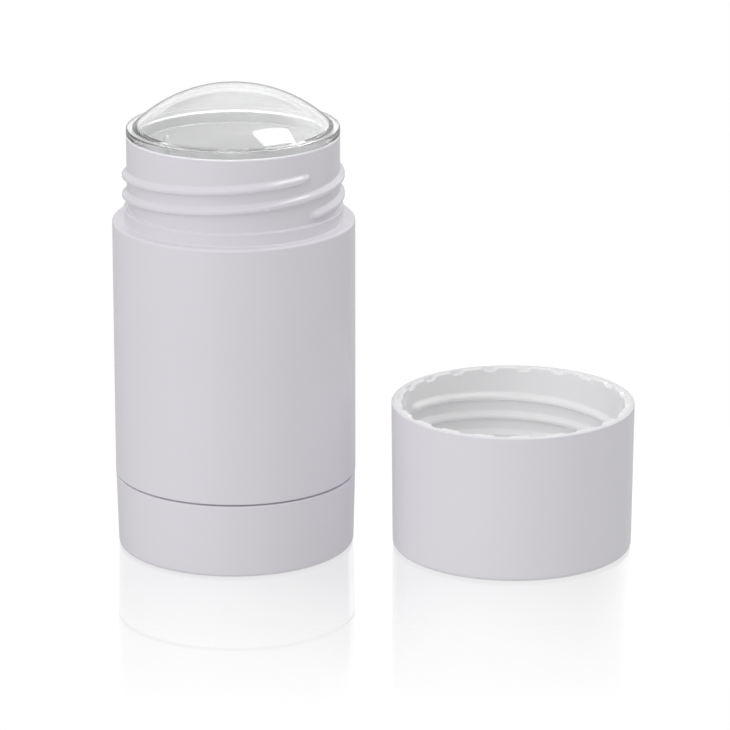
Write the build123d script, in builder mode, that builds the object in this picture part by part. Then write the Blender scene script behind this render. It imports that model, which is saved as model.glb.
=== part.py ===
"""Twist-up deodorant stick container, empty, with its screw cap taken off.

Millimetres, +Z up. The origin is the centre of the turning base's underside, on the container's
axis. The cap stands mouth up beside the container, on the same surface.
"""

import os
from math import ceil

from build123d import *

# ---- driving dimensions ---------------------------------------------------------------------

# Barrel: a double-walled moulding, open below between its outer wall and its inner tube.
BARREL_R = 25.0  # outside of the body
BARREL_WALL = 1.4  # outer wall
BODY_LENGTH = 54.1  # from the seam to the shoulder
SHOULDER_EDGE = 0.55  # round on the shoulder's rim
SHOULDER_T = 1.6  # web between outer wall and neck
FLOOR_T = 1.6  # floor of the chamber

# Neck: the top of the inner tube.
NECK_STEP = 3.1  # from the body's side in to the neck's
NECK_WALL = 1.6
NECK_LENGTH = 17.8  # above the shoulder
COLLAR_OUT = 0.75  # raised ring at the neck's foot, out from the neck
COLLAR_H = 2.65
EDGE = 0.3  # small rounds on moulded edges

# Closure thread, two starts, right handed.
THREAD_STARTS = 2
THREAD_LEAD = 8.3
THREAD_H = 0.95  # ridge height over the neck
THREAD_W = 2.0  # ridge width at its foot
THREAD_CREST_W = 0.7
THREAD_LOW = 4.25  # lower end of a ridge above the shoulder
THREAD_TURNS = 1.0
THREAD_END_ANGLE = -44.0  # direction of one ridge's lower end, from +X
CAP_THREAD_TURNS = 1.5
CAP_THREAD_IN = 4.95  # the cap's ridges start this far inside its rim
CAP_THREAD_ANGLE = 155.0  # where one of them starts, from +X
THREAD_CLEARANCE = 0.3  # radial, crest to root, cap on neck

# Guide ribs that stop the platform from turning.
RIB_W = 1.1
RIB_H = 0.8
RIB_BELOW_RIM = 3.8
RIB_CLEARANCE = 0.3

# Base dial.
DIAL_INSET = 0.05  # its top, in from the body's side
DIAL_DRAFT = 0.4  # its foot, in from its top
DIAL_H = 15.45
DIAL_WALL = 1.6
DIAL_FLOOR = 1.6
DIAL_FOOT_EDGE = 0.9
DIAL_FOOT_RING = 4.55  # width of the ring it stands on
DIAL_RECESS_H = 0.5
SEAM = 0.35  # gap between dial and barrel

# Lap joint that hides the seam: a spigot of the barrel inside the dial's rim.
SPIGOT_WALL = 1.0
SPIGOT_H = 3.0
SPIGOT_CLEARANCE = 0.25
DIAL_RIM_WALL = 1.1
LAP_RING_H = 3.0  # thick band of the outer wall above the spigot

# Spindle: flange above the chamber's floor, journal through it, foot in the dial.
JOURNAL_R = 4.6
JOURNAL_CLEARANCE = 0.08
BEARING_WALL = 3.32  # boss around the journal
BEARING_DROP = 1.8  # boss below the floor
FLANGE_OUT = 2.6  # out from the journal
FLANGE_T = 1.4
END_PLAY = 0.15  # axial, above and below the bearing
FOOT_IN = 1.1  # flats of the hexagonal foot, in from the journal
FOOT_LENGTH = 6.5
PLUG_IN = 0.3  # round end of the foot, in from the flats, with a snap bead
PLUG_LENGTH = 3.6
BEAD_H = 0.25
BEAD_W = 1.0
SOCKET_CLEARANCE = 0.05
SOCKET_WALL = 2.2
SOCKET_RIBS = 6
SOCKET_RIB_T = 1.2
SOCKET_RIB_H = 5.0

# Lead screw on the spindle, left handed: the platform rises when the dial turns with +Z.
SCREW_CORE_R = 3.0
SCREW_R = 4.2
SCREW_LEAD = 4.0
SCREW_W = 1.8  # ridge width at the core
SCREW_CREST_W = 1.1
SCREW_CLEARANCE = 0.18
SPINDLE_TOP_BELOW_RIM = 7.7

# Platform that carries the stick.
PLATFORM_CLEARANCE = 0.3  # to the chamber's wall
PLATFORM_T = 1.4
PLATFORM_SKIRT_H = 6.0
PLATFORM_SKIRT_T = 1.2
NUT_WALL = 2.22
NUT_LENGTH = 8.0
NUT_GAP = 0.3  # above the spindle's flange
NUT_STAND = 1.0  # nut above the platform's face
ANCHOR_T = 1.2  # ring that keys the stick to the platform
ANCHOR_H = 2.0
ANCHOR_HOLES = 6
ANCHOR_HOLE_R = 1.8
ANCHOR_HOLE_LAND_IN = 1.0  # between the nut and the holes
ANCHOR_HOLE_LAND_OUT = 1.3  # between the holes and the ring

# Clear inner lid: flange on the neck, plug in it, and a dome.
LID_FLANGE_T = 1.6
LID_PLUG_H = 2.4
LID_PLUG_T = 1.1
LID_CLEARANCE = 0.1
DOME_LAND = 1.3  # flat rim of the flange around the dome
DOME_FLATNESS = 8.8  # outer radius of the sphere, more than that of the dome's foot
DOME_T = 1.15

# Screw cap, standing mouth up.
CAP_PROUD = 0.25  # its mouth, out from the body's side
CAP_DRAFT = 0.32  # its closed end, in from its mouth
CAP_HEADROOM = 1.5  # at least, over the dome
CAP_END_T = 1.5
CAP_END_EDGE = 1.0
CAP_APART = 7.45  # between the cap and the body
CAP_Y = -2.4
RIM_NOTCHES = 20  # they held the cap while the threaded core was screwed out
RIM_NOTCH_W = 3.4  # along the rim
RIM_NOTCH_IN = 1.0  # into the rim from the bore
RIM_NOTCH_DEPTH = 1.0
RIM_NOTCH_CORNER = 0.4
RIM_NOTCH_ANGLE = 10.5

EMBED = 0.3  # how far a ridge is rooted in its wall

# ---- sizes worked out from them -------------------------------------------------------------

Z_SEAM_TOP = DIAL_H + SEAM
Z_SHOULDER = Z_SEAM_TOP + BODY_LENGTH
Z_RIM = Z_SHOULDER + NECK_LENGTH
NECK_R = BARREL_R - NECK_STEP
COLLAR_R = NECK_R + COLLAR_OUT
CHAMBER_R = NECK_R - NECK_WALL
Z_FLOOR = Z_SEAM_TOP  # underside of the chamber's floor
Z_CHAMBER = Z_FLOOR + FLOOR_T
RIB_TOP = Z_RIM - RIB_BELOW_RIM
RIB_ANGLES = [THREAD_END_ANGLE + 360 / THREAD_STARTS * i for i in range(THREAD_STARTS)]

DIAL_R = BARREL_R - DIAL_INSET
DIAL_FOOT_R = DIAL_R - DIAL_DRAFT
DIAL_RECESS_R = DIAL_FOOT_R - DIAL_FOOT_RING
DIAL_LAP_R = DIAL_R - DIAL_RIM_WALL
SPIGOT_R = DIAL_LAP_R - SPIGOT_CLEARANCE
SPIGOT_INNER_R = SPIGOT_R - SPIGOT_WALL

Z_BEARING = Z_FLOOR - BEARING_DROP
Z_FLANGE = Z_CHAMBER + END_PLAY
Z_SCREW = Z_FLANGE + FLANGE_T
Z_SOCKET_TOP = Z_BEARING - END_PLAY
Z_FOOT = Z_SOCKET_TOP - FOOT_LENGTH
Z_PLUG = Z_FOOT - PLUG_LENGTH
Z_SPINDLE_TOP = Z_RIM - SPINDLE_TOP_BELOW_RIM
BEARING_BORE_R = JOURNAL_R + JOURNAL_CLEARANCE
BEARING_R = BEARING_BORE_R + BEARING_WALL
FLANGE_R = JOURNAL_R + FLANGE_OUT
FOOT_FLAT_R = JOURNAL_R - FOOT_IN
PLUG_R = FOOT_FLAT_R - PLUG_IN
SOCKET_R = JOURNAL_R + SOCKET_WALL

Z_NUT = Z_SCREW + NUT_GAP
Z_NUT_TOP = Z_NUT + NUT_LENGTH
Z_PLATFORM = Z_NUT_TOP - NUT_STAND
PLATFORM_R = CHAMBER_R - PLATFORM_CLEARANCE
NUT_BORE_R = SCREW_R + SCREW_CLEARANCE
NUT_R = NUT_BORE_R + NUT_WALL
ANCHOR_HOLE_RING = NUT_R + ANCHOR_HOLE_LAND_IN + ANCHOR_HOLE_R
ANCHOR_R = ANCHOR_HOLE_RING + ANCHOR_HOLE_R + ANCHOR_HOLE_LAND_OUT

Z_LID = Z_RIM + LID_FLANGE_T
LID_PLUG_R = CHAMBER_R - LID_CLEARANCE
LID_INNER_R = LID_PLUG_R - LID_PLUG_T
DOME_FOOT_R = NECK_R - DOME_LAND
DOME_R = DOME_FOOT_R + DOME_FLATNESS
DOME_Z = Z_LID - (DOME_R**2 - DOME_FOOT_R**2) ** 0.5  # centre of the sphere
DOME_INNER_R = DOME_R - DOME_T
DOME_TOP = DOME_Z + DOME_R

THREAD_TOP_R = NECK_R + THREAD_H
CAP_R = BARREL_R + CAP_PROUD
CAP_END_R = CAP_R - CAP_DRAFT
CAP_X = BARREL_R + CAP_APART + CAP_R
CAP_H = ceil(DOME_TOP - Z_SHOULDER + CAP_HEADROOM + CAP_END_T)  # a whole millimetre
CAP_BORE_R = THREAD_TOP_R + THREAD_CLEARANCE
CAP_RIDGE_R = NECK_R + THREAD_CLEARANCE
CAP_THREAD_RISE = THREAD_LEAD * CAP_THREAD_TURNS


def ridge(root_r, crest_r, foot_w, crest_w, lead, turns, low, angle, left=False):
    """Helical ridge rooted in a wall at root_r, its lower end at height low and the given angle."""
    path = Helix(lead, lead * turns, root_r, lefthand=left)
    out = 1 if crest_r > root_r else -1
    foot = root_r - out * EMBED
    flare = (foot_w - crest_w) / 2 * EMBED / abs(crest_r - root_r)
    with BuildPart() as made:
        with BuildSketch(Plane.XZ):
            with BuildLine():
                Polyline(
                    (foot, -foot_w / 2 - flare),
                    (crest_r, -crest_w / 2),
                    (crest_r, crest_w / 2),
                    (foot, foot_w / 2 + flare),
                    close=True,
                )
            make_face()
        sweep(path=path, is_frenet=True)
    return made.part.moved(Location((0, 0, low), (0, 0, angle)))


# ---- barrel ---------------------------------------------------------------------------------

neck_ridges = [
    ridge(
        NECK_R,
        THREAD_TOP_R,
        THREAD_W,
        THREAD_CREST_W,
        THREAD_LEAD,
        THREAD_TURNS,
        Z_SHOULDER + THREAD_LOW,
        angle,
    )
    for angle in RIB_ANGLES
]

with BuildPart() as barrel:
    with BuildSketch(Plane.XZ):
        with BuildLine():
            Polyline(
                (BEARING_BORE_R, Z_BEARING),
                (BEARING_R, Z_BEARING),
                (BEARING_R, Z_FLOOR),
                (NECK_R, Z_FLOOR),
                (NECK_R, Z_SHOULDER - SHOULDER_T),
                (BARREL_R - BARREL_WALL, Z_SHOULDER - SHOULDER_T),
                (BARREL_R - BARREL_WALL, Z_SEAM_TOP + LAP_RING_H),
                (SPIGOT_INNER_R, Z_SEAM_TOP + LAP_RING_H),
                (SPIGOT_INNER_R, Z_SEAM_TOP - SPIGOT_H),
                (SPIGOT_R, Z_SEAM_TOP - SPIGOT_H),
                (SPIGOT_R, Z_SEAM_TOP),
                (BARREL_R, Z_SEAM_TOP),
                (BARREL_R, Z_SHOULDER),
                (COLLAR_R, Z_SHOULDER),
                (COLLAR_R, Z_SHOULDER + COLLAR_H),
                (NECK_R, Z_SHOULDER + COLLAR_H),
                (NECK_R, Z_RIM),
                (CHAMBER_R, Z_RIM),
                (CHAMBER_R, Z_CHAMBER),
                (BEARING_BORE_R, Z_CHAMBER),
                close=True,
            )
        make_face()
    revolve(axis=Axis.Z)
    shoulder_rim = barrel.edges().filter_by(GeomType.CIRCLE).filter_by(
        lambda e: abs(e.radius - BARREL_R) < 0.01 and abs(e.center().Z - Z_SHOULDER) < 0.01
    )
    fillet(shoulder_rim, SHOULDER_EDGE)
    small_rims = barrel.edges().filter_by(GeomType.CIRCLE).filter_by(
        lambda e: (abs(e.radius - COLLAR_R) < 0.01 and e.center().Z > Z_SHOULDER + 0.1)
        or (abs(e.radius - NECK_R) < 0.01 and e.center().Z > Z_RIM - 0.01)
        or (abs(e.radius - BARREL_R) < 0.01 and e.center().Z < Z_SEAM_TOP + 0.01)
    )
    fillet(small_rims, EDGE)
    for angle in RIB_ANGLES:
        with BuildSketch(Plane.XY.offset(Z_CHAMBER - EMBED).rotated((0, 0, angle))):
            with Locations((CHAMBER_R + EMBED - (RIB_H + EMBED) / 2, 0)):
                Rectangle(RIB_H + EMBED, RIB_W)
        extrude(amount=RIB_TOP - Z_CHAMBER + EMBED)
    add(neck_ridges)
barrel.part.label = "barrel"

# ---- base dial ------------------------------------------------------------------------------

with BuildPart() as base_dial:
    with BuildSketch(Plane.XZ):
        with BuildLine():
            Polyline(
                (0, DIAL_RECESS_H),
                (DIAL_RECESS_R, DIAL_RECESS_H),
                (DIAL_RECESS_R, 0),
                (DIAL_FOOT_R, 0),
                (DIAL_R, DIAL_H),
                (DIAL_LAP_R, DIAL_H),
                (DIAL_LAP_R, DIAL_H - SPIGOT_H),
                (DIAL_R - DIAL_WALL, DIAL_H - SPIGOT_H - SPIGOT_CLEARANCE),
                (DIAL_FOOT_R - DIAL_WALL, DIAL_RECESS_H + DIAL_FLOOR),
                (0, DIAL_RECESS_H + DIAL_FLOOR),
                close=True,
            )
        make_face()
    revolve(axis=Axis.Z)
    foot_rim = base_dial.edges().filter_by(GeomType.CIRCLE).filter_by(
        lambda e: abs(e.radius - DIAL_FOOT_R) < 0.01
    )
    fillet(foot_rim, DIAL_FOOT_EDGE)
    top_rim = base_dial.edges().filter_by(GeomType.CIRCLE).filter_by(
        lambda e: abs(e.radius - DIAL_R) < 0.01
    )
    fillet(top_rim, EDGE)
    with BuildSketch(Plane.XY.offset(DIAL_RECESS_H + DIAL_FLOOR)):
        Circle(SOCKET_R)
    extrude(amount=Z_SOCKET_TOP - DIAL_RECESS_H - DIAL_FLOOR)
    with BuildSketch(Plane.XY.offset(DIAL_RECESS_H + DIAL_FLOOR)):
        with PolarLocations((SOCKET_R + DIAL_FOOT_R - DIAL_WALL) / 2, SOCKET_RIBS):
            Rectangle(DIAL_FOOT_R - DIAL_WALL - SOCKET_R + 2 * EMBED, SOCKET_RIB_T)
    extrude(amount=SOCKET_RIB_H)
    with BuildSketch(Plane.XY.offset(Z_SOCKET_TOP)):
        RegularPolygon(FOOT_FLAT_R + SOCKET_CLEARANCE, 6, major_radius=False)
    extrude(amount=-FOOT_LENGTH - SOCKET_CLEARANCE, mode=Mode.SUBTRACT)
    with BuildSketch(Plane.XY.offset(Z_FOOT)):
        Circle(PLUG_R + SOCKET_CLEARANCE)
    extrude(amount=-PLUG_LENGTH - SOCKET_CLEARANCE, mode=Mode.SUBTRACT)
    with BuildSketch(Plane.XY.offset(Z_FOOT - (PLUG_LENGTH + BEAD_W) / 2 - SOCKET_CLEARANCE)):
        Circle(PLUG_R + BEAD_H + SOCKET_CLEARANCE)
    extrude(amount=BEAD_W + 2 * SOCKET_CLEARANCE, mode=Mode.SUBTRACT)
base_dial.part.label = "base_dial"

# ---- spindle --------------------------------------------------------------------------------

SCREW_LOW = Z_SCREW + SCREW_W / 2 + EDGE
SCREW_TURNS = (Z_SPINDLE_TOP - SCREW_LOW - SCREW_W) / SCREW_LEAD
screw_ridge = ridge(
    SCREW_CORE_R,
    SCREW_R,
    SCREW_W,
    SCREW_CREST_W,
    SCREW_LEAD,
    SCREW_TURNS,
    SCREW_LOW,
    0,
    left=True,
)

with BuildPart() as spindle:
    with BuildSketch(Plane.XY.offset(Z_PLUG)):
        Circle(PLUG_R)
    extrude(amount=PLUG_LENGTH)
    with BuildSketch(Plane.XY.offset(Z_FOOT - (PLUG_LENGTH + BEAD_W) / 2)):
        Circle(PLUG_R + BEAD_H)
    extrude(amount=BEAD_W)
    with BuildSketch(Plane.XY.offset(Z_FOOT)):
        RegularPolygon(FOOT_FLAT_R, 6, major_radius=False)
    extrude(amount=FOOT_LENGTH)
    with BuildSketch(Plane.XY.offset(Z_SOCKET_TOP)):
        Circle(JOURNAL_R)
    extrude(amount=Z_FLANGE - Z_SOCKET_TOP)
    with BuildSketch(Plane.XY.offset(Z_FLANGE)):
        Circle(FLANGE_R)
    extrude(amount=FLANGE_T)
    with BuildSketch(Plane.XY.offset(Z_SCREW)):
        Circle(SCREW_CORE_R)
    extrude(amount=Z_SPINDLE_TOP - Z_SCREW)
    chamfer(spindle.faces().sort_by(Axis.Z)[-1].edges(), EDGE)
    chamfer(spindle.faces().sort_by(Axis.Z)[0].edges(), EDGE)
    add(screw_ridge)
spindle.part.label = "spindle"

# ---- platform -------------------------------------------------------------------------------

# The nut's ridge fills the screw's groove, less the clearance on each flank.
NUT_RIDGE_R = SCREW_CORE_R + SCREW_CLEARANCE
SCREW_SLOPE = (SCREW_W - SCREW_CREST_W) / (SCREW_R - SCREW_CORE_R)
GROOVE_AT_CORE = SCREW_LEAD - SCREW_W - 2 * SCREW_CLEARANCE
NUT_CREST_W = GROOVE_AT_CORE + SCREW_SLOPE * (NUT_RIDGE_R - SCREW_CORE_R)
NUT_FOOT_W = GROOVE_AT_CORE + SCREW_SLOPE * (NUT_BORE_R - SCREW_CORE_R)
# Lower end of the nut's ridge: as low as the nut allows, on the helix half a lead off the screw's.
NUT_RIDGE_LOW = Z_NUT + NUT_FOOT_W / 2 + EDGE
NUT_TURNS = (NUT_LENGTH - NUT_FOOT_W - 2 * EDGE) / SCREW_LEAD
NUT_ANGLE = -360 * ((NUT_RIDGE_LOW - SCREW_LOW) / SCREW_LEAD - 0.5)
nut_ridge = ridge(
    NUT_BORE_R,
    NUT_RIDGE_R,
    NUT_FOOT_W,
    NUT_CREST_W,
    SCREW_LEAD,
    NUT_TURNS,
    NUT_RIDGE_LOW,
    NUT_ANGLE,
    left=True,
)

with BuildPart() as platform:
    with BuildSketch(Plane.XZ):
        with BuildLine():
            Polyline(
                (NUT_BORE_R, Z_NUT),
                (NUT_R, Z_NUT),
                (NUT_R, Z_PLATFORM - PLATFORM_T),
                (PLATFORM_R - PLATFORM_SKIRT_T, Z_PLATFORM - PLATFORM_T),
                (PLATFORM_R - PLATFORM_SKIRT_T, Z_PLATFORM - PLATFORM_SKIRT_H),
                (PLATFORM_R, Z_PLATFORM - PLATFORM_SKIRT_H),
                (PLATFORM_R, Z_PLATFORM),
                (ANCHOR_R + ANCHOR_T, Z_PLATFORM),
                (ANCHOR_R + ANCHOR_T, Z_PLATFORM + ANCHOR_H),
                (ANCHOR_R, Z_PLATFORM + ANCHOR_H),
                (ANCHOR_R, Z_PLATFORM),
                (NUT_R, Z_PLATFORM),
                (NUT_R, Z_NUT_TOP),
                (NUT_BORE_R, Z_NUT_TOP),
                close=True,
            )
        make_face()
    revolve(axis=Axis.Z)
    with BuildSketch(Plane.XY.offset(Z_PLATFORM - PLATFORM_T)):
        with PolarLocations(ANCHOR_HOLE_RING, ANCHOR_HOLES):
            Circle(ANCHOR_HOLE_R)
    extrude(amount=PLATFORM_T, mode=Mode.SUBTRACT)
    notch_depth = RIB_H + RIB_CLEARANCE
    for angle in RIB_ANGLES:
        with BuildSketch(Plane.XY.offset(Z_PLATFORM - PLATFORM_SKIRT_H).rotated((0, 0, angle))):
            with Locations((CHAMBER_R - notch_depth / 2, 0)):
                Rectangle(notch_depth, RIB_W + 2 * RIB_CLEARANCE)
        extrude(amount=PLATFORM_SKIRT_H, mode=Mode.SUBTRACT)
    add(nut_ridge)
platform.part.label = "platform"

# ---- clear inner lid ------------------------------------------------------------------------

with BuildPart() as dome_lid:
    with BuildSketch(Plane.XZ):
        with BuildLine():
            dome_inner_z = DOME_Z + (DOME_INNER_R**2 - LID_INNER_R**2) ** 0.5
            Line((0, DOME_Z + DOME_INNER_R), (0, DOME_TOP))
            RadiusArc((0, DOME_TOP), (DOME_FOOT_R, Z_LID), DOME_R)
            Polyline(
                (DOME_FOOT_R, Z_LID),
                (NECK_R, Z_LID),
                (NECK_R, Z_RIM),
                (LID_PLUG_R, Z_RIM),
                (LID_PLUG_R, Z_RIM - LID_PLUG_H),
                (LID_INNER_R, Z_RIM - LID_PLUG_H),
                (LID_INNER_R, dome_inner_z),
            )
            RadiusArc((LID_INNER_R, dome_inner_z), (0, DOME_Z + DOME_INNER_R), -DOME_INNER_R)
        make_face()
    revolve(axis=Axis.Z)
    flange_rims = dome_lid.edges().filter_by(GeomType.CIRCLE).filter_by(
        lambda e: abs(e.radius - NECK_R) < 0.01
    )
    fillet(flange_rims, EDGE)
dome_lid.part.label = "dome_lid"

# ---- cap ------------------------------------------------------------------------------------

cap_ridges = [
    ridge(
        CAP_BORE_R,
        CAP_RIDGE_R,
        THREAD_W,
        THREAD_CREST_W,
        THREAD_LEAD,
        CAP_THREAD_TURNS,
        CAP_H - CAP_THREAD_IN - CAP_THREAD_RISE,
        CAP_THREAD_ANGLE - 360 * CAP_THREAD_TURNS + 360 / THREAD_STARTS * i,
    )
    for i in range(THREAD_STARTS)
]

with BuildPart() as cap_on_axis:
    with BuildSketch(Plane.XZ):
        with BuildLine():
            Polyline(
                (0, 0),
                (CAP_END_R, 0),
                (CAP_R, CAP_H),
                (CAP_BORE_R, CAP_H),
                (CAP_BORE_R, CAP_END_T),
                (0, CAP_END_T),
                close=True,
            )
        make_face()
    revolve(axis=Axis.Z)
    end_rim = cap_on_axis.edges().filter_by(GeomType.CIRCLE).filter_by(
        lambda e: abs(e.radius - CAP_END_R) < 0.01
    )
    fillet(end_rim, CAP_END_EDGE)
    mouth_rim = cap_on_axis.edges().filter_by(GeomType.CIRCLE).filter_by(
        lambda e: abs(e.radius - CAP_R) < 0.01
    )
    fillet(mouth_rim, EDGE)
    with BuildSketch(Plane.XY.offset(CAP_H)):
        with PolarLocations(CAP_BORE_R, RIM_NOTCHES, start_angle=RIM_NOTCH_ANGLE):
            RectangleRounded(2 * RIM_NOTCH_IN, RIM_NOTCH_W, RIM_NOTCH_CORNER)
    extrude(amount=-RIM_NOTCH_DEPTH, mode=Mode.SUBTRACT)
    add(cap_ridges)

with BuildPart() as cap:
    with Locations((CAP_X, CAP_Y, 0)):
        add(cap_on_axis.part)
cap.part.label = "cap"

# ---- files ----------------------------------------------------------------------------------

os.makedirs("parts", exist_ok=True)
export_step(barrel.part, "parts/barrel.step")
export_step(base_dial.part, "parts/base_dial.step")
export_step(spindle.part, "parts/spindle.step")
export_step(platform.part, "parts/platform.step")
export_step(dome_lid.part, "parts/dome_lid.step")
export_step(cap.part, "parts/cap.step")
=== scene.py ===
"""Looks of an empty twist-up stick container: white mouldings, clear domed inner lid, loose cap.

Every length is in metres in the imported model's frame. The container stands on z = 0 with its axis
on the z axis, and its screw cap stands mouth up beside it.
"""

import math

import bmesh
import bpy
from mathutils import Matrix, Vector


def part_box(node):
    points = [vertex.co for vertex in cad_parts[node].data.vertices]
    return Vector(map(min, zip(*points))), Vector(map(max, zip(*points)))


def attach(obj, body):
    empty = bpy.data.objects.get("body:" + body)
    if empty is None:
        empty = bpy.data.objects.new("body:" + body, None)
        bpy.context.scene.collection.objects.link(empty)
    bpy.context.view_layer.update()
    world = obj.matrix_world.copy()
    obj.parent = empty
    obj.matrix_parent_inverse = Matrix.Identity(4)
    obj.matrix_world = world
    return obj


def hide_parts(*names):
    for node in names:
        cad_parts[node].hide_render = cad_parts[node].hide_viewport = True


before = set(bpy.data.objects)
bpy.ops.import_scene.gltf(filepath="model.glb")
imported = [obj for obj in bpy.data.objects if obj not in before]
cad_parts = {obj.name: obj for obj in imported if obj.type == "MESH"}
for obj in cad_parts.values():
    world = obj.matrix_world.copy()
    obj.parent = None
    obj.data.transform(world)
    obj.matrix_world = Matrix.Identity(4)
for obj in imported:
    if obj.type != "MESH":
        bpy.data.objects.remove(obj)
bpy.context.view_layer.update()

MM = 0.001
FULL_TURN = 2 * math.pi

# ---- sizes read from the frame ----------------------------------------------------------------

barrel_low, barrel_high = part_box("barrel")
dial_low, dial_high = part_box("base_dial")
lid_low, lid_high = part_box("dome_lid")
cap_low, cap_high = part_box("cap")

BARREL_R = barrel_high.x
SPIGOT_FOOT = barrel_low.z
RIM = barrel_high.z
DIAL_TOP = dial_high.z
NECK_R = lid_high.x
DOME_TOP = lid_high.z
PLUG_FOOT = lid_low.z
CAP_AXIS = (cap_low + cap_high) / 2
CAP_R = (cap_high.x - cap_low.x) / 2
CAP_H = cap_high.z

# ---- sizes of the mouldings -------------------------------------------------------------------

SEAM_GAP = 0.35 * MM
SEAM = DIAL_TOP + SEAM_GAP  # lower edge of the barrel's side
NECK_LENGTH = 17.8 * MM
SHOULDER = RIM - NECK_LENGTH
SHOULDER_EDGE = 0.55 * MM
SHOULDER_WEB = 1.6 * MM
COLLAR_R = 22.65 * MM
COLLAR_H = 2.65 * MM
COLLAR_TOP = SHOULDER + COLLAR_H
CHAMBER_R = 20.3 * MM
CHAMBER_FLOOR_T = 1.6 * MM
CHAMBER_FLOOR = SEAM + CHAMBER_FLOOR_T
OUTER_WALL_IN = 23.6 * MM
SPIGOT_R = 23.6 * MM
SPIGOT_IN = 22.6 * MM
LAP_H = 3.0 * MM
LAP_TOP = SEAM + LAP_H
JOURNAL_BORE_R = 4.68 * MM
BEARING_R = 8.0 * MM
BEARING_DROP = 1.8 * MM
BEARING_FOOT = SEAM - BEARING_DROP
EDGE = 0.3 * MM  # round on most moulded edges
FINE_EDGE = 0.15 * MM
BLENDED_EDGE = 0.05 * MM  # where the dome runs into the flange and the plug

RIB_W = 1.1 * MM
RIB_H = 0.8 * MM
RIB_BELOW_RIM = 3.8 * MM
RIB_TOP = RIM - RIB_BELOW_RIM
RIB_ROOT = 0.3 * MM
RIB_ROUND = 0.45 * MM

DIAL_R = 24.95 * MM
DIAL_FOOT_R = 24.55 * MM
DIAL_FOOT_EDGE = 0.9 * MM
DIAL_WALL = 1.6 * MM
DIAL_LAP_R = 23.85 * MM
DIAL_LAP_H = 3.0 * MM
DIAL_LAP_SLOPE = 0.25 * MM  # height over which the lap's wall thickens
DIAL_RECESS_R = 20.0 * MM
DIAL_RECESS_H = 0.5 * MM
DIAL_FLOOR_TOP = 2.1 * MM
SOCKET_R = 6.8 * MM
END_PLAY = 0.15 * MM
SOCKET_TOP = BEARING_FOOT - END_PLAY
SOCKET_FLAT_R = 3.55 * MM
SOCKET_RIBS = 6
SOCKET_RIB_T = 1.2 * MM
SOCKET_RIB_H = 5.0 * MM

FLANGE_T = 1.6 * MM
FLANGE_TOP = RIM + FLANGE_T
LID_GAP = 0.03 * MM  # air between the flange and the neck's rim
LID_PLUG_R = 20.2 * MM
LID_PLUG_IN = 19.1 * MM
DOME_R = 29.4 * MM
DOME_T = 1.15 * MM
DOME_FOOT_R = 20.6 * MM
DOME_CENTRE = DOME_TOP - DOME_R
DOME_STEPS = 40
LID_STEPS = 240  # facets round the lid

CAP_END_R = 24.93 * MM
CAP_END_EDGE = 1.0 * MM
CAP_END_T = 1.5 * MM
CAP_BORE_R = 23.15 * MM
CAP_BORE_EDGE = 0.8 * MM  # round between bore and closed end
RIM_NOTCHES = 20
RIM_NOTCH_IN = 1.0 * MM
RIM_NOTCH_DEPTH = 0.7 * MM
RIM_NOTCH_SPAN = math.radians(8.4)
RIM_NOTCH_ANGLE = math.radians(10.5)
RIM_NOTCH_SLOPE = math.radians(1.6)  # run-out at each end of a notch
RIM_NOTCH_BACK = 0.06 * MM  # width of a notch's back wall, seen from above
RIM_NOTCH_MARGIN = 0.3 * MM  # plain wall below a notch

# The closure thread: two ridges on the neck and two in the cap's bore.
THREAD_LEAD = 8.3 * MM
THREAD_H = 0.95 * MM
NECK_THREAD = {
    "foot": SHOULDER + 4.25 * MM,
    "angle": math.radians(-44),
    "turns": 1.0,
    "radius": NECK_R,
}
CAP_THREAD = {
    "foot": 13.6 * MM,
    "angle": math.radians(-25),
    "turns": 1.5,
    "radius": CAP_BORE_R,
}
RIDGE_UP = 1.2 * MM  # reach of a ridge above its middle line
RIDGE_DOWN = 0.95 * MM
RIDGE_UPPER_FLANK = 1.15 * MM
RIDGE_LOWER_FLANK = 0.6 * MM
RIDGE_END = 3.0 * MM  # length over which a ridge's end swells to full height
RIDGE_TIP_WIDTH = 0.4  # share of a ridge's width that its tip has
THREAD_ROW = 0.11 * MM  # height of a row of faces where the ridges are

STEPS = 360  # facets round a moulding
ARC_SEGMENTS = 4
SHARP = math.radians(32)  # edges that turn more than this stay sharp
ON_WALL = 0.02 * MM  # how near a wall's radius a point counts as on it
MERGE = 0.0005 * MM


# ---- tools ------------------------------------------------------------------------------------


def section(corners):
    """A closed outline in the XZ plane from (r, z, radius) corners, each rounded by its radius."""
    bm = bmesh.new()
    verts = [bm.verts.new((r, 0, z)) for r, z, radius in corners]
    for a, b in zip(verts, verts[1:] + verts[:1]):
        bm.edges.new((a, b))
    for i, (r, z, radius) in enumerate(corners):
        if radius:
            here = verts[i].co
            before = Vector((corners[i - 1][0], 0, corners[i - 1][1])) - here
            after_r, after_z, _ = corners[(i + 1) % len(corners)]
            after = Vector((after_r, 0, after_z)) - here
            reach = radius / math.tan(before.angle(after) / 2)
            bmesh.ops.bevel(
                bm,
                geom=[verts[i]],
                offset=reach,
                offset_type="OFFSET",
                segments=ARC_SEGMENTS,
                profile=0.5,
                affect="VERTICES",
                material=-1,
            )
    return bm


def cut_run(bm, radius, low, high, spacing):
    """Cuts the outline's upright run at a radius, between two heights, into short steps."""
    for edge in list(bm.edges):
        a, b = (v.co for v in edge.verts)
        upright = abs(a.x - radius) < ON_WALL and abs(b.x - radius) < ON_WALL
        if upright and min(a.z, b.z) < (low + high) / 2 < max(a.z, b.z):
            cuts = math.ceil((a - b).length / spacing) - 1
            bmesh.ops.subdivide_edges(bm, edges=[edge], cuts=cuts)
            return


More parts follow.
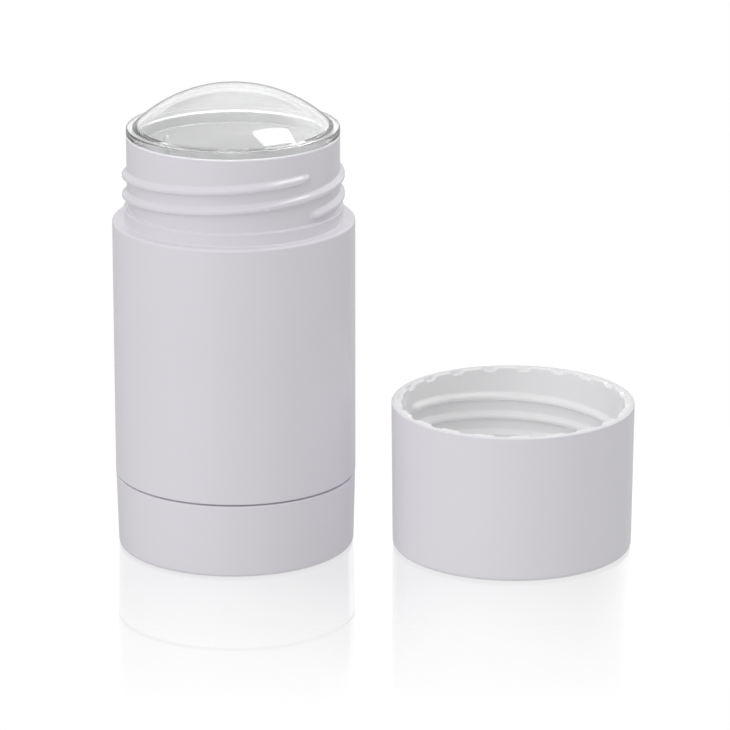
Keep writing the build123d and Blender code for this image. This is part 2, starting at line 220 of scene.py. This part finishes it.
def turn(bm, steps=STEPS):
    """Turns an outline about the z axis into a closed shell."""
    bmesh.ops.spin(
        bm,
        geom=bm.verts[:] + bm.edges[:],
        cent=(0, 0, 0),
        axis=(0, 0, 1),
        angle=FULL_TURN,
        steps=steps,
        use_merge=True,
    )
    bmesh.ops.remove_doubles(bm, verts=bm.verts, dist=MERGE)
    bmesh.ops.dissolve_degenerate(bm, edges=bm.edges, dist=MERGE)
    bmesh.ops.recalc_face_normals(bm, faces=bm.faces)


def block(bm, size, centre, bevel, angle=0):
    """Adds a box with rounded edges, turned about the z axis by an angle once it is in place."""
    made = bmesh.ops.create_cube(bm, size=1)["verts"]
    bmesh.ops.scale(bm, vec=size, verts=made)
    edges = list({e for v in made for e in v.link_edges})
    rounded = bmesh.ops.bevel(
        bm,
        geom=edges,
        offset=bevel,
        offset_type="OFFSET",
        segments=3,
        profile=0.5,
        affect="EDGES",
        material=-1,
    )
    verts = list({v for f in rounded["faces"] for v in f.verts})
    bmesh.ops.translate(bm, vec=centre, verts=verts)
    bmesh.ops.rotate(bm, cent=(0, 0, 0), matrix=Matrix.Rotation(angle, 3, "Z"), verts=verts)


def piece(name, bm, body, node, material, centre=Vector((0, 0, 0))):
    """A finished mesh as a piece that rides on a body and stands for a node."""
    bmesh.ops.translate(bm, verts=bm.verts, vec=(centre.x, centre.y, 0))
    for face in bm.faces:
        face.smooth = True
    for edge in bm.edges:
        edge.smooth = not edge.is_manifold or edge.calc_face_angle() < SHARP
    mesh = bpy.data.meshes.new(name)
    bm.to_mesh(mesh)
    bm.free()
    obj = bpy.data.objects.new(name, mesh)
    bpy.context.scene.collection.objects.link(obj)
    obj.data.materials.append(material)
    weighted = obj.modifiers.new("flat_faces_stay_flat", "WEIGHTED_NORMAL")
    weighted.keep_sharp = True
    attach(obj, body)
    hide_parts(node)
    return obj


def ease(x):
    """0 to 1 with rounded ends."""
    x = min(max(x, 0), 1)
    return x * x * (3 - 2 * x)


def ridge_height(thread, angle, z):
    """How far the thread's two ridges stand out at a direction and a height, from 0 to 1."""
    best = 0
    for start in (thread["angle"], thread["angle"] + math.pi):
        turned = ((angle - start) % FULL_TURN) / FULL_TURN
        while turned <= thread["turns"]:
            to_end = min(turned, thread["turns"] - turned) * FULL_TURN * thread["radius"]
            swell = math.sqrt(1 - (1 - min(to_end / RIDGE_END, 1)) ** 2)
            width = RIDGE_TIP_WIDTH + (1 - RIDGE_TIP_WIDTH) * swell
            off = (z - thread["foot"] - turned * THREAD_LEAD) / width
            if off > 0:
                height = ease((RIDGE_UP - off) / RIDGE_UPPER_FLANK)
            else:
                height = ease((RIDGE_DOWN + off) / RIDGE_LOWER_FLANK)
            best = max(best, height * swell)
            turned += 1
    return best


def raise_ridges(bm, thread, outward):
    """Pushes the wall's points out, or in, where the thread's ridges run."""
    low = thread["foot"] - RIDGE_DOWN
    high = thread["foot"] + thread["turns"] * THREAD_LEAD + RIDGE_UP
    for v in bm.verts:
        flat = Vector((v.co.x, v.co.y, 0))
        if low < v.co.z < high and abs(flat.length - thread["radius"]) < ON_WALL:
            height = ridge_height(thread, math.atan2(flat.y, flat.x), v.co.z)
            v.co += flat.normalized() * THREAD_H * height * outward


# ---- materials --------------------------------------------------------------------------------

WHITE = (0.873, 0.852, 0.902)
CAP_TINT = (0.89, 0.872, 0.915)
INNER_PARTS_WHITE = (0.82, 0.82, 0.82)
# Painted light: a lighter, cooler white painted on the inside of the barrel's and the cap's bores,
# standing in for light that comes through the translucent wall.
PAINTED_INSIDE_LIGHT = (0.99, 0.988, 0.995)
PAINTED_LIGHT_FADE = 0.5 * MM  # depth of wall over which the colour changes
BARREL_BORE = (Vector((0, 0, 0)), CHAMBER_R + 0.7 * MM)
CAP_BORE = (CAP_AXIS, CAP_BORE_R + 1.1 * MM)

WHITE_IOR = 1.49
WHITE_SPECULAR = 0.4
CLOUD_SCALE = 28
CLOUD_SHADE = 0.985  # darkest part of the cloudiness, as a share of the colour
GLOSS_SCALE = 90
GLOSS_SPREAD = 0.03  # how far the roughness strays either way
SKIN_SCALE = 900
SKIN_DEPTH = 0.02 * MM

CLEAR_COLOUR = (0.975, 0.978, 0.978)
CLEAR_IOR = 1.5
CLEAR_TRANSMISSION = 0.97
HAZE_SCALE = 60
HAZE = 0.02  # greatest roughness


def new_material(name):
    """A node material with its nodes, links and shader."""
    material = bpy.data.materials.new(name)
    material.use_nodes = True
    nodes = material.node_tree.nodes
    return material, nodes, material.node_tree.links, nodes["Principled BSDF"]


def paint_light_inside(nodes, links, where, colour, bore):
    """Painted light: a lighter, cooler white painted inside a bore (axis, radius), standing in for
    light let through the wall.
    """
    axis, radius = bore
    centred = nodes.new("ShaderNodeMapping")
    centred.inputs["Location"].default_value = (-axis.x, -axis.y, 0)
    centred.inputs["Scale"].default_value = (1, 1, 0)
    links.new(where.outputs["Object"], centred.inputs["Vector"])
    distance = nodes.new("ShaderNodeVectorMath")
    distance.operation = "LENGTH"
    links.new(centred.outputs["Vector"], distance.inputs[0])
    inside = nodes.new("ShaderNodeMapRange")
    inside.inputs["From Min"].default_value = radius + PAINTED_LIGHT_FADE
    inside.inputs["From Max"].default_value = radius
    links.new(distance.outputs["Value"], inside.inputs["Value"])
    mix = nodes.new("ShaderNodeMix")
    mix.data_type = "RGBA"
    mix.inputs["B"].default_value = (*PAINTED_INSIDE_LIGHT, 1)
    links.new(inside.outputs["Result"], mix.inputs["Factor"])
    links.new(colour, mix.inputs["A"])
    return mix.outputs["Result"]


def moulded_white(name, colour, roughness, grain, flow, bore=None):
    """White injection-moulded plastic: faint cloudiness, uneven gloss, a fine-grained skin, and
    painted light inside a bore when one is given.

    The gloss pattern is stretched by flow, the scales along x, y and z.
    """
    material, nodes, links, shader = new_material(name)
    shader.inputs["Specular IOR Level"].default_value = WHITE_SPECULAR
    shader.inputs["IOR"].default_value = WHITE_IOR
    where = nodes.new("ShaderNodeTexCoord")

    clouds = nodes.new("ShaderNodeTexNoise")
    clouds.inputs["Scale"].default_value = CLOUD_SCALE
    clouds.inputs["Detail"].default_value = 3
    links.new(where.outputs["Object"], clouds.inputs["Vector"])
    tint = nodes.new("ShaderNodeValToRGB")
    tint.color_ramp.elements[0].position = 0.3
    tint.color_ramp.elements[0].color = (*[c * CLOUD_SHADE for c in colour], 1)
    tint.color_ramp.elements[1].position = 0.7
    tint.color_ramp.elements[1].color = (*colour, 1)
    links.new(clouds.outputs["Fac"], tint.inputs["Fac"])
    surface = tint.outputs["Color"]
    # Painted light: the inside of the bore is painted a lighter white.
    if bore:
        surface = paint_light_inside(nodes, links, where, surface, bore)
    links.new(surface, shader.inputs["Base Color"])

    streaks = nodes.new("ShaderNodeMapping")
    streaks.inputs["Scale"].default_value = flow
    links.new(where.outputs["Object"], streaks.inputs["Vector"])
    gloss = nodes.new("ShaderNodeTexNoise")
    gloss.inputs["Scale"].default_value = GLOSS_SCALE
    gloss.inputs["Detail"].default_value = 2
    links.new(streaks.outputs["Vector"], gloss.inputs["Vector"])
    spread = nodes.new("ShaderNodeMapRange")
    spread.inputs["To Min"].default_value = roughness - GLOSS_SPREAD
    spread.inputs["To Max"].default_value = roughness + GLOSS_SPREAD
    links.new(gloss.outputs["Fac"], spread.inputs["Value"])
    links.new(spread.outputs["Result"], shader.inputs["Roughness"])

    skin = nodes.new("ShaderNodeTexNoise")
    skin.inputs["Scale"].default_value = SKIN_SCALE
    skin.inputs["Detail"].default_value = 2
    links.new(where.outputs["Object"], skin.inputs["Vector"])
    bump = nodes.new("ShaderNodeBump")
    bump.inputs["Strength"].default_value = grain
    bump.inputs["Distance"].default_value = SKIN_DEPTH
    links.new(skin.outputs["Fac"], bump.inputs["Height"])
    links.new(bump.outputs["Normal"], shader.inputs["Normal"])
    return material


def clear_moulding():
    """Clear, polished plastic with a trace of haze."""
    material, nodes, links, shader = new_material("clear_plastic")
    shader.inputs["Base Color"].default_value = (*CLEAR_COLOUR, 1)
    shader.inputs["IOR"].default_value = CLEAR_IOR
    shader.inputs["Transmission Weight"].default_value = CLEAR_TRANSMISSION
    where = nodes.new("ShaderNodeTexCoord")
    haze = nodes.new("ShaderNodeTexNoise")
    haze.inputs["Scale"].default_value = HAZE_SCALE
    haze.inputs["Detail"].default_value = 2
    links.new(where.outputs["Object"], haze.inputs["Vector"])
    spread = nodes.new("ShaderNodeMapRange")
    spread.inputs["To Min"].default_value = 0.0
    spread.inputs["To Max"].default_value = HAZE
    links.new(haze.outputs["Fac"], spread.inputs["Value"])
    links.new(spread.outputs["Result"], shader.inputs["Roughness"])
    return material


BARREL_WHITE = moulded_white(
    "barrel_white_plastic", WHITE, roughness=0.17, grain=0.15, flow=(1, 1, 0.25), bore=BARREL_BORE
)
DIAL_WHITE = moulded_white(
    "dial_white_plastic", WHITE, roughness=0.2, grain=0.15, flow=(1, 1, 0.5)
)
CAP_WHITE = moulded_white(
    "cap_white_plastic", CAP_TINT, roughness=0.17, grain=0.15, flow=(1, 1, 0.3), bore=CAP_BORE
)
SPINDLE_WHITE = moulded_white(
    "spindle_white_plastic", INNER_PARTS_WHITE, roughness=0.35, grain=0.2, flow=(1, 1, 1)
)
PLATFORM_WHITE = moulded_white(
    "platform_white_plastic", INNER_PARTS_WHITE, roughness=0.38, grain=0.2, flow=(1, 1, 1)
)
CLEAR = clear_moulding()


# ---- barrel -----------------------------------------------------------------------------------


def make_barrel():
    """Double-walled body with the threaded neck, the chamber in it and two guide ribs."""
    bm = section(
        [
            (JOURNAL_BORE_R, BEARING_FOOT, 0),
            (BEARING_R, BEARING_FOOT, 0),
            (BEARING_R, SEAM, 0),
            (NECK_R, SEAM, 0),
            (NECK_R, SHOULDER - SHOULDER_WEB, 0),
            (OUTER_WALL_IN, SHOULDER - SHOULDER_WEB, 0),
            (OUTER_WALL_IN, LAP_TOP, 0),
            (SPIGOT_IN, LAP_TOP, 0),
            (SPIGOT_IN, SPIGOT_FOOT, 0),
            (SPIGOT_R, SPIGOT_FOOT, FINE_EDGE),
            (SPIGOT_R, SEAM, 0),
            (BARREL_R, SEAM, EDGE),
            (BARREL_R, SHOULDER, SHOULDER_EDGE),
            (COLLAR_R, SHOULDER, FINE_EDGE),
            (COLLAR_R, COLLAR_TOP, EDGE),
            (NECK_R, COLLAR_TOP, FINE_EDGE),
            (NECK_R, RIM, EDGE),
            (CHAMBER_R, RIM, FINE_EDGE),
            (CHAMBER_R, CHAMBER_FLOOR, EDGE),
            (JOURNAL_BORE_R, CHAMBER_FLOOR, 0),
        ]
    )
    cut_run(bm, NECK_R, COLLAR_TOP, RIM, THREAD_ROW)
    turn(bm)
    raise_ridges(bm, NECK_THREAD, 1)
    rib_foot = CHAMBER_FLOOR - RIB_ROOT
    for angle in (NECK_THREAD["angle"], NECK_THREAD["angle"] + math.pi):
        block(
            bm,
            size=(RIB_H + RIB_ROOT, RIB_W, RIB_TOP - rib_foot),
            centre=(CHAMBER_R + RIB_ROOT - (RIB_H + RIB_ROOT) / 2, 0, (RIB_TOP + rib_foot) / 2),
            bevel=RIB_ROUND,
            angle=angle,
        )
    piece("barrel_moulding", bm, "container", "barrel", BARREL_WHITE)


# ---- base dial --------------------------------------------------------------------------------


def make_dial():
    """Turning base: cup with a lapped rim, a foot ring, and the spindle's socket with its ribs."""
    bm = section(
        [
            (0, DIAL_RECESS_H, 0),
            (DIAL_RECESS_R, DIAL_RECESS_H, FINE_EDGE),
            (DIAL_RECESS_R, 0, FINE_EDGE),
            (DIAL_FOOT_R, 0, DIAL_FOOT_EDGE),
            (DIAL_R, DIAL_TOP, EDGE),
            (DIAL_LAP_R, DIAL_TOP, 0),
            (DIAL_LAP_R, DIAL_TOP - DIAL_LAP_H, 0),
            (DIAL_R - DIAL_WALL, DIAL_TOP - DIAL_LAP_H - DIAL_LAP_SLOPE, 0),
            (DIAL_FOOT_R - DIAL_WALL, DIAL_FLOOR_TOP, EDGE),
            (SOCKET_R, DIAL_FLOOR_TOP, FINE_EDGE),
            (SOCKET_R, SOCKET_TOP, FINE_EDGE),
            (SOCKET_FLAT_R, SOCKET_TOP, 0),
            (SOCKET_FLAT_R, DIAL_FLOOR_TOP, 0),
            (0, DIAL_FLOOR_TOP, 0),
        ]
    )
    turn(bm)
    rib_low = DIAL_FLOOR_TOP - RIB_ROOT
    rib_in = SOCKET_R - RIB_ROOT
    rib_out = DIAL_FOOT_R - DIAL_WALL + RIB_ROOT
    for i in range(SOCKET_RIBS):
        block(
            bm,
            size=(rib_out - rib_in, SOCKET_RIB_T, SOCKET_RIB_H + RIB_ROOT),
            centre=((rib_out + rib_in) / 2, 0, rib_low + (SOCKET_RIB_H + RIB_ROOT) / 2),
            bevel=FINE_EDGE,
            angle=i * FULL_TURN / SOCKET_RIBS,
        )
    piece("base_dial_moulding", bm, "dial", "base_dial", DIAL_WHITE)


# ---- clear inner lid --------------------------------------------------------------------------


def dome_arc(radius, inner_r, outer_r, outward):
    """Corners along the dome's sphere between two distances from the axis."""
    first = math.asin(inner_r / radius)
    last = math.asin(outer_r / radius)
    angles = [first + (last - first) * k / DOME_STEPS for k in range(DOME_STEPS + 1)]
    arc = [(radius * math.sin(a), DOME_CENTRE + radius * math.cos(a), 0) for a in angles]
    return arc if outward else arc[::-1]


def make_lid():
    """Clear lid: a flange that sits on the neck's rim, a plug in the neck, and a thin dome."""
    inner_r = DOME_R - DOME_T
    outside = dome_arc(DOME_R, 0, DOME_FOOT_R, True)
    inside = dome_arc(inner_r, 0, LID_PLUG_IN, False)
    foot_r, foot_z, _ = outside.pop()
    root_r, root_z, _ = inside.pop(0)
    bm = section(
        outside
        + [
            (foot_r, foot_z, BLENDED_EDGE),
            (NECK_R, FLANGE_TOP, EDGE),
            (NECK_R, RIM + LID_GAP, EDGE),
            (LID_PLUG_R, RIM + LID_GAP, FINE_EDGE),
            (LID_PLUG_R, PLUG_FOOT, FINE_EDGE),
            (LID_PLUG_IN, PLUG_FOOT, FINE_EDGE),
            (root_r, root_z, BLENDED_EDGE),
        ]
        + inside
    )
    turn(bm, steps=LID_STEPS)
    piece("dome_lid_moulding", bm, "lid", "dome_lid", CLEAR)


# ---- cap --------------------------------------------------------------------------------------


def cut_rim_notches(bm):
    """Sinks the notches, with sloped ends, into the inner edge of the cap's rim."""
    pitch = FULL_TURN / RIM_NOTCHES
    half = RIM_NOTCH_SPAN / 2
    back_r = CAP_BORE_R + RIM_NOTCH_IN
    for v in bm.verts:
        radius = math.hypot(v.co.x, v.co.y)
        in_corner = CAP_H - RIM_NOTCH_DEPTH / 2 < v.co.z and radius < back_r - 0.01 * MM
        if in_corner:
            angle = math.atan2(v.co.y, v.co.x)
            off = abs((angle - RIM_NOTCH_ANGLE + pitch / 2) % pitch - pitch / 2)
            v.co.z -= RIM_NOTCH_DEPTH * ease((half - off) / RIM_NOTCH_SLOPE)


def make_cap():
    """Screw cap, mouth up: drafted side, rounded closed end, threaded bore and notched rim."""
    back_r = CAP_BORE_R + RIM_NOTCH_IN
    bm = section(
        [
            (0, 0, 0),
            (CAP_END_R, 0, CAP_END_EDGE),
            (CAP_R, CAP_H, EDGE),
            (back_r, CAP_H, 0),
            (back_r - RIM_NOTCH_BACK, CAP_H, 0),
            (CAP_BORE_R, CAP_H, FINE_EDGE),
            (CAP_BORE_R, CAP_H - RIM_NOTCH_DEPTH - RIM_NOTCH_MARGIN, 0),
            (CAP_BORE_R, CAP_END_T, CAP_BORE_EDGE),
            (0, CAP_END_T, 0),
        ]
    )
    cut_run(bm, CAP_BORE_R, CAP_END_T, CAP_H - 2 * RIM_NOTCH_DEPTH, THREAD_ROW)
    turn(bm)
    raise_ridges(bm, CAP_THREAD, -1)
    cut_rim_notches(bm)
    piece("cap_moulding", bm, "cap", "cap", CAP_WHITE, centre=CAP_AXIS)


# ---- spindle and platform ---------------------------------------------------------------------


def finish_node(node, material):
    """Gives a construction node that stays in view its own material."""
    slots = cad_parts[node].data.materials
    slots.clear()
    slots.append(material)


make_barrel()
make_dial()
make_lid()
make_cap()
finish_node("spindle", SPINDLE_WHITE)
finish_node("platform", PLATFORM_WHITE)

# ---- camera -----------------------------------------------------------------------------------

CAMERA_PLACE = (26.99 * MM, -955.3 * MM, 334.7 * MM)
CAMERA_PITCH = math.radians(17.25)
CAMERA_LENS = 237.6
CAMERA_SENSOR = 36

lens = bpy.data.cameras.new("camera")
lens.lens = CAMERA_LENS
lens.sensor_width = CAMERA_SENSOR
lens.clip_end = 50
camera = bpy.data.objects.new("camera", lens)
camera.location = CAMERA_PLACE
camera.rotation_euler = (math.pi / 2 - CAMERA_PITCH, 0, 0)
bpy.context.scene.collection.objects.link(camera)
bpy.context.scene.camera = camera

# ---- studio -----------------------------------------------------------------------------------

FLOOR_SIZE = 12  # metres
FLOOR_SEEN = 0.912  # glow of the floor as it is seen
FLOOR_LIGHT = 0.44  # glow that lights the mouldings from below
FLOOR_ALBEDO = 0.12
MIRROR = 0.42  # how much the floor mirrors close to the container
MIRROR_NEAR = 25 * MM
MIRROR_FAR = 98 * MM
MIRROR_REACH = 15 * MM  # how far past the two axes the mirror stays whole
MIRROR_ROUGHNESS = 0.04
WORLD_SEEN = 1.0
WORLD_LIGHT = 0.02
# Soft bright regions of the surroundings: direction, cosine where the region begins, the light
# that it gives, and its brightness in reflections.
GLOWS = [
    ((0, 0, 1), 0.3, 0.66, 0.75),
    ((-0.39, -0.8, 0.454), 0.6, 1.28, 0.6),
    ((0.86, 0.46, 0.22), 0.7, 0.9, 1.4),
    ((-0.86, 0.46, 0.22), 0.7, 0.15, 0.0),
    ((0.15, 0.55, 0.82), 0.75, 0.0, 0.7),
]
WINDOW_PLACE = (0.286, 0.105, 0.64)
WINDOW_TURN = math.radians(43)
WINDOW_SIZE = (0.311, 0.16)
WINDOW_STRENGTH = 7.0


def math_node(nodes, links, operation, *values):
    """The result of a maths node whose inputs are numbers or other nodes' outputs."""
    node = nodes.new("ShaderNodeMath")
    node.operation = operation
    for socket, value in zip(node.inputs, values):
        if isinstance(value, (int, float)):
            socket.default_value = value
        else:
            links.new(value, socket)
    return node.outputs[0]


def make_floor():
    """Pale glossy floor that mirrors the container near it and fades to plain white."""
    material = bpy.data.materials.new("studio_floor")
    material.use_nodes = True
    nodes, links = material.node_tree.nodes, material.node_tree.links
    shader = nodes["Principled BSDF"]
    shader.inputs["Base Color"].default_value = (FLOOR_ALBEDO, FLOOR_ALBEDO, FLOOR_ALBEDO, 1)
    shader.inputs["Specular IOR Level"].default_value = 0
    shader.inputs["Roughness"].default_value = 1
    shader.inputs["Emission Color"].default_value = (1, 1, 1, 1)
    path = nodes.new("ShaderNodeLightPath")
    glow = nodes.new("ShaderNodeMapRange")
    glow.inputs["To Min"].default_value = FLOOR_SEEN
    glow.inputs["To Max"].default_value = FLOOR_LIGHT
    lighting = math_node(
        nodes, links, "MAXIMUM", path.outputs["Is Diffuse Ray"], path.outputs["Is Glossy Ray"]
    )
    links.new(lighting, glow.inputs["Value"])
    links.new(glow.outputs["Result"], shader.inputs["Emission Strength"])

    where = nodes.new("ShaderNodeTexCoord")
    split = nodes.new("ShaderNodeSeparateXYZ")
    links.new(where.outputs["Object"], split.inputs["Vector"])
    half_span = CAP_AXIS.x / 2
    from_middle = math_node(nodes, links, "SUBTRACT", split.outputs["X"], half_span)
    beyond = math_node(
        nodes,
        links,
        "MAXIMUM",
        math_node(
            nodes,
            links,
            "SUBTRACT",
            math_node(nodes, links, "ABSOLUTE", from_middle),
            half_span + MIRROR_REACH,
        ),
        0,
    )
    away = math_node(
        nodes,
        links,
        "SQRT",
        math_node(
            nodes,
            links,
            "ADD",
            math_node(nodes, links, "MULTIPLY", beyond, beyond),
            math_node(nodes, links, "MULTIPLY", split.outputs["Y"], split.outputs["Y"]),
        ),
    )
    fade = nodes.new("ShaderNodeMapRange")
    fade.inputs["From Min"].default_value = MIRROR_NEAR
    fade.inputs["From Max"].default_value = MIRROR_FAR
    fade.inputs["To Min"].default_value = MIRROR
    fade.inputs["To Max"].default_value = 0
    links.new(away, fade.inputs["Value"])
    mirror = nodes.new("ShaderNodeBsdfGlossy")
    mirror.inputs["Color"].default_value = (1, 1, 1, 1)
    mirror.inputs["Roughness"].default_value = MIRROR_ROUGHNESS
    mix = nodes.new("ShaderNodeMixShader")
    seen_mirror = math_node(
        nodes, links, "MULTIPLY", fade.outputs["Result"], path.outputs["Is Camera Ray"]
    )
    links.new(seen_mirror, mix.inputs["Fac"])
    links.new(shader.outputs["BSDF"], mix.inputs[1])
    links.new(mirror.outputs["BSDF"], mix.inputs[2])
    links.new(mix.outputs["Shader"], nodes["Material Output"].inputs["Surface"])

    bm = bmesh.new()
    bmesh.ops.create_grid(bm, x_segments=1, y_segments=1, size=FLOOR_SIZE / 2)
    mesh = bpy.data.meshes.new("studio_floor")
    bm.to_mesh(mesh)
    bm.free()
    floor = bpy.data.objects.new("studio_floor", mesh)
    floor.data.materials.append(material)
    bpy.context.scene.collection.objects.link(floor)


def surroundings(nodes, links, towards, base, glows):
    """Brightness of the surroundings: a base with soft bright regions (direction, begins, adds)."""
    strength = base
    for direction, begins, adds in glows:
        facing = nodes.new("ShaderNodeVectorMath")
        facing.operation = "DOT_PRODUCT"
        links.new(towards, facing.inputs[0])
        facing.inputs[1].default_value = Vector(direction).normalized()
        glow = nodes.new("ShaderNodeMapRange")
        glow.interpolation_type = "SMOOTHSTEP"
        glow.inputs["From Min"].default_value = begins
        glow.inputs["To Max"].default_value = adds
        links.new(facing.outputs["Value"], glow.inputs["Value"])
        strength = math_node(nodes, links, "ADD", strength, glow.outputs["Result"])
    return strength


def make_world():
    """White surroundings that show brighter than the light they give to matt surfaces."""
    world = bpy.data.worlds.new("studio")
    world.use_nodes = True
    nodes, links = world.node_tree.nodes, world.node_tree.links
    towards = nodes.new("ShaderNodeTexCoord").outputs["Generated"]
    path = nodes.new("ShaderNodeLightPath")
    strength = nodes.new("ShaderNodeMix")
    links.new(path.outputs["Is Diffuse Ray"], strength.inputs["Factor"])
    shine = [(direction, begins, shines) for direction, begins, _, shines in GLOWS]
    light = [(direction, begins, lights) for direction, begins, lights, _ in GLOWS]
    seen = surroundings(nodes, links, towards, WORLD_SEEN, shine)
    lighting = surroundings(nodes, links, towards, WORLD_LIGHT, light)
    links.new(seen, strength.inputs["A"])
    links.new(lighting, strength.inputs["B"])
    links.new(strength.outputs["Result"], nodes["Background"].inputs["Strength"])
    nodes["Background"].inputs["Color"].default_value = (1, 1, 1, 1)
    bpy.context.scene.world = world


def make_window():
    """A small rectangular softbox overhead, seen as a reflection only."""
    light = bpy.data.lights.new("window_softbox", "AREA")
    light.shape = "RECTANGLE"
    light.size, light.size_y = WINDOW_SIZE
    light.energy = WINDOW_STRENGTH * WINDOW_SIZE[0] * WINDOW_SIZE[1] * math.pi
    lamp = bpy.data.objects.new("window_softbox", light)
    lamp.location = WINDOW_PLACE
    lamp.rotation_euler = (0, 0, WINDOW_TURN)
    lamp.visible_camera = False
    lamp.visible_diffuse = False
    bpy.context.scene.collection.objects.link(lamp)


make_floor()
make_world()
make_window()

bpy.context.scene.view_settings.view_transform = "Standard"
